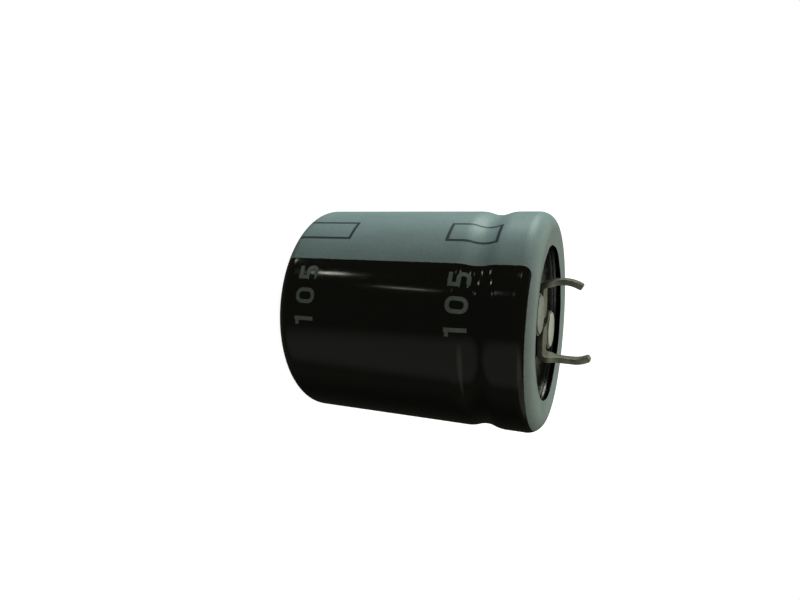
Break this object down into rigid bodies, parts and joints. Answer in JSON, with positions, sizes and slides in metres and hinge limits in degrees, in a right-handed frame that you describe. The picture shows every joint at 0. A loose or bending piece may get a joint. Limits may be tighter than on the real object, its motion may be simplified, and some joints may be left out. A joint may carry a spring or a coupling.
{
  "type": "electrolytic capacitor",
  "caption": "Snap-in electrolytic capacitor: sleeved round can with a bead groove and curled rim, and two bent blade terminals through a riveted end seal.",
  "frame": {"origin": "centre of the closed end, on the surface it stands on", "axes": "+Z along the can's axis from the closed end to the terminals; the two terminal blades lie along X, the negative one at -X under the printed stripe"},
  "size_m": [0.0304, 0.0304, 0.0403],
  "materials": {
    "sleeve_film": "glossy black shrink film with a grey-green printed stripe and rim",
    "can_aluminium": "drawn, satin",
    "laminate_board": "brown paper laminate",
    "seal_rubber": "smooth black, slightly glossy",
    "tinned_metal": "tinned, dull",
    "rivet_aluminium": "bright, pressed",
    "tab_foil": "rolled foil",
    "winding_paper": "damp paper and foil",
    "clear_tape": "thin film"
  },
  "bodies": {
    "root": {"sleeve": "sleeve_film", "can": "can_aluminium", "terminal_board": "laminate_board", "seal_rubber": "seal_rubber", "terminal_negative": "tinned_metal", "terminal_positive": "tinned_metal", "rivet_negative": "rivet_aluminium", "rivet_positive": "rivet_aluminium", "washer_negative": "rivet_aluminium", "washer_positive": "rivet_aluminium", "tab_negative": "tab_foil", "tab_positive": "tab_foil", "winding": "winding_paper", "winding_tape": "clear_tape", "base_disc": "winding_paper"}
  },
  "joints": []
}
